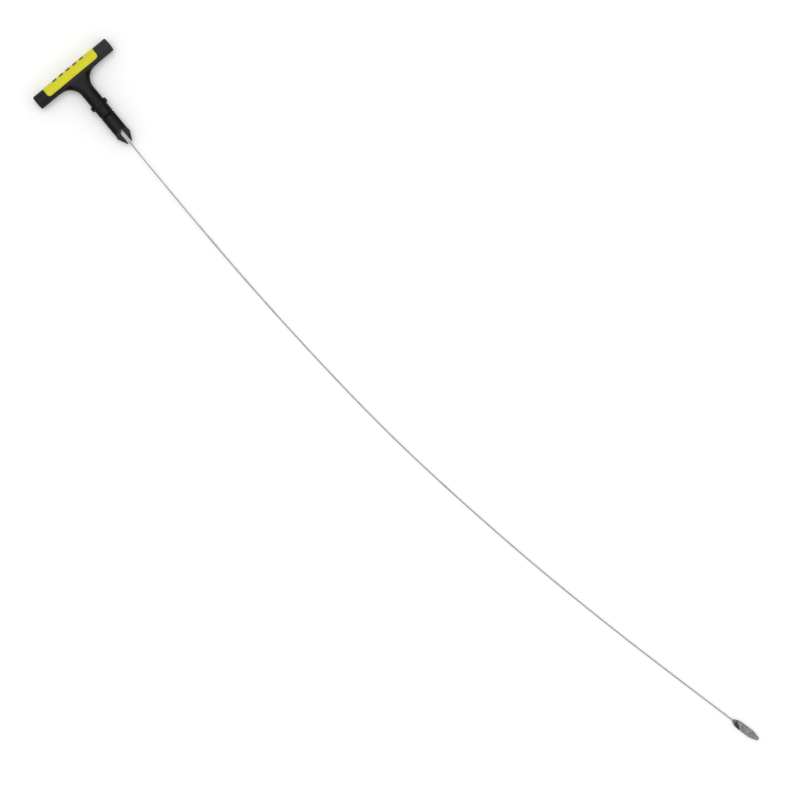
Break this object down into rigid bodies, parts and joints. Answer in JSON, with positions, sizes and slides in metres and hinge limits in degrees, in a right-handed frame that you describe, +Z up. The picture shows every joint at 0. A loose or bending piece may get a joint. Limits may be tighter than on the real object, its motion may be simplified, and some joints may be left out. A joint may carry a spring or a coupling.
{
  "type": "engine oil dipstick",
  "caption": "Engine oil dipstick: a black T-handle with a coloured grip panel, a collared and sealed tube plug, a long thin stranded cable and a flat hatched level blade.",
  "frame": {"origin": "on the plug's axis, at the collar's face that seats on the dipstick tube", "axes": "+X along the plug towards the blade, +Y along the grip bar, +Z up from the surface that the dipstick lies on"},
  "size_m": [0.6693, 0.1063, 0.0132],
  "materials": {
    "handle_plastic": "satin moulded black nylon",
    "panel_plastic": "fine-textured yellow moulding",
    "mark_plastic": "black inlay",
    "seal_rubber": "oiled black nitrile",
    "sleeve_steel": "zinc-plated steel",
    "cable_steel": "bright stranded steel wire",
    "crimp_steel": "dark pressed steel",
    "blade_steel": "grey blasted steel with a cross-hatched field"
  },
  "bodies": {
    "root": {"handle": "handle_plastic", "grip_panel": "panel_plastic", "panel_marks": "mark_plastic", "seal_ring": "seal_rubber", "anchor_sleeve": "sleeve_steel", "cable": "cable_steel", "tip_crimp": "crimp_steel", "blade": "blade_steel"}
  },
  "joints": []
}
